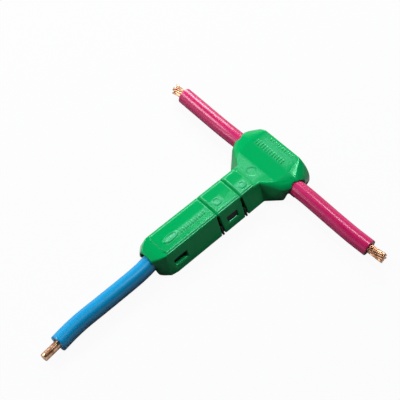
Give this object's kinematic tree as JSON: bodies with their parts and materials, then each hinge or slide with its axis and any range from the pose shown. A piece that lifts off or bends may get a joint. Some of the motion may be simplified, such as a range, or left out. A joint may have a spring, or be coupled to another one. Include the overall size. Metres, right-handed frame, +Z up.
{
  "type": "t-tap wire connector",
  "caption": "T-shaped splice connector for wires: hinged green cover over a black base with a brass fork contact, joining a tap wire to an uncut run wire",
  "frame": {"origin": "middle of the connector's box without the wires, on the surface that it stands on", "axes": "+X along the run wire, +Y from the tap wire's mouth to the head, +Z up"},
  "size_m": [0.065, 0.0696, 0.0061],
  "materials": {
    "green_plastic": "moulded polypropylene, glossy, with a fine grain on the upper faces",
    "black_plastic": "moulded nylon, satin",
    "brass": "stamped and bent brass strip",
    "pink_insulation": "extruded PVC, glossy",
    "blue_insulation": "extruded PVC, glossy",
    "copper": "drawn copper, bare"
  },
  "bodies": {
    "base": {"base": "black_plastic", "contact": "brass", "middle_cover": "green_plastic", "run_wire_insulation": "pink_insulation", "run_wire_conductor": "copper", "tap_wire_insulation": "blue_insulation", "tap_wire_core": "copper"},
    "head_cover": {"head_cover": "green_plastic"},
    "tail_cover": {"tail_cover": "green_plastic"}
  },
  "joints": [
    {"name": "head_hinge", "type": "hinge", "parent": "base", "child": "head_cover", "pos_m": [0, 0.00385, 0.00505], "axis": [1, 0, 0], "range_deg": [0, 45]},
    {"name": "tail_hinge", "type": "hinge", "parent": "base", "child": "tail_cover", "pos_m": [0, -0.00305, 0.00505], "axis": [-1, 0, 0], "range_deg": [0, 50]}
  ]
}
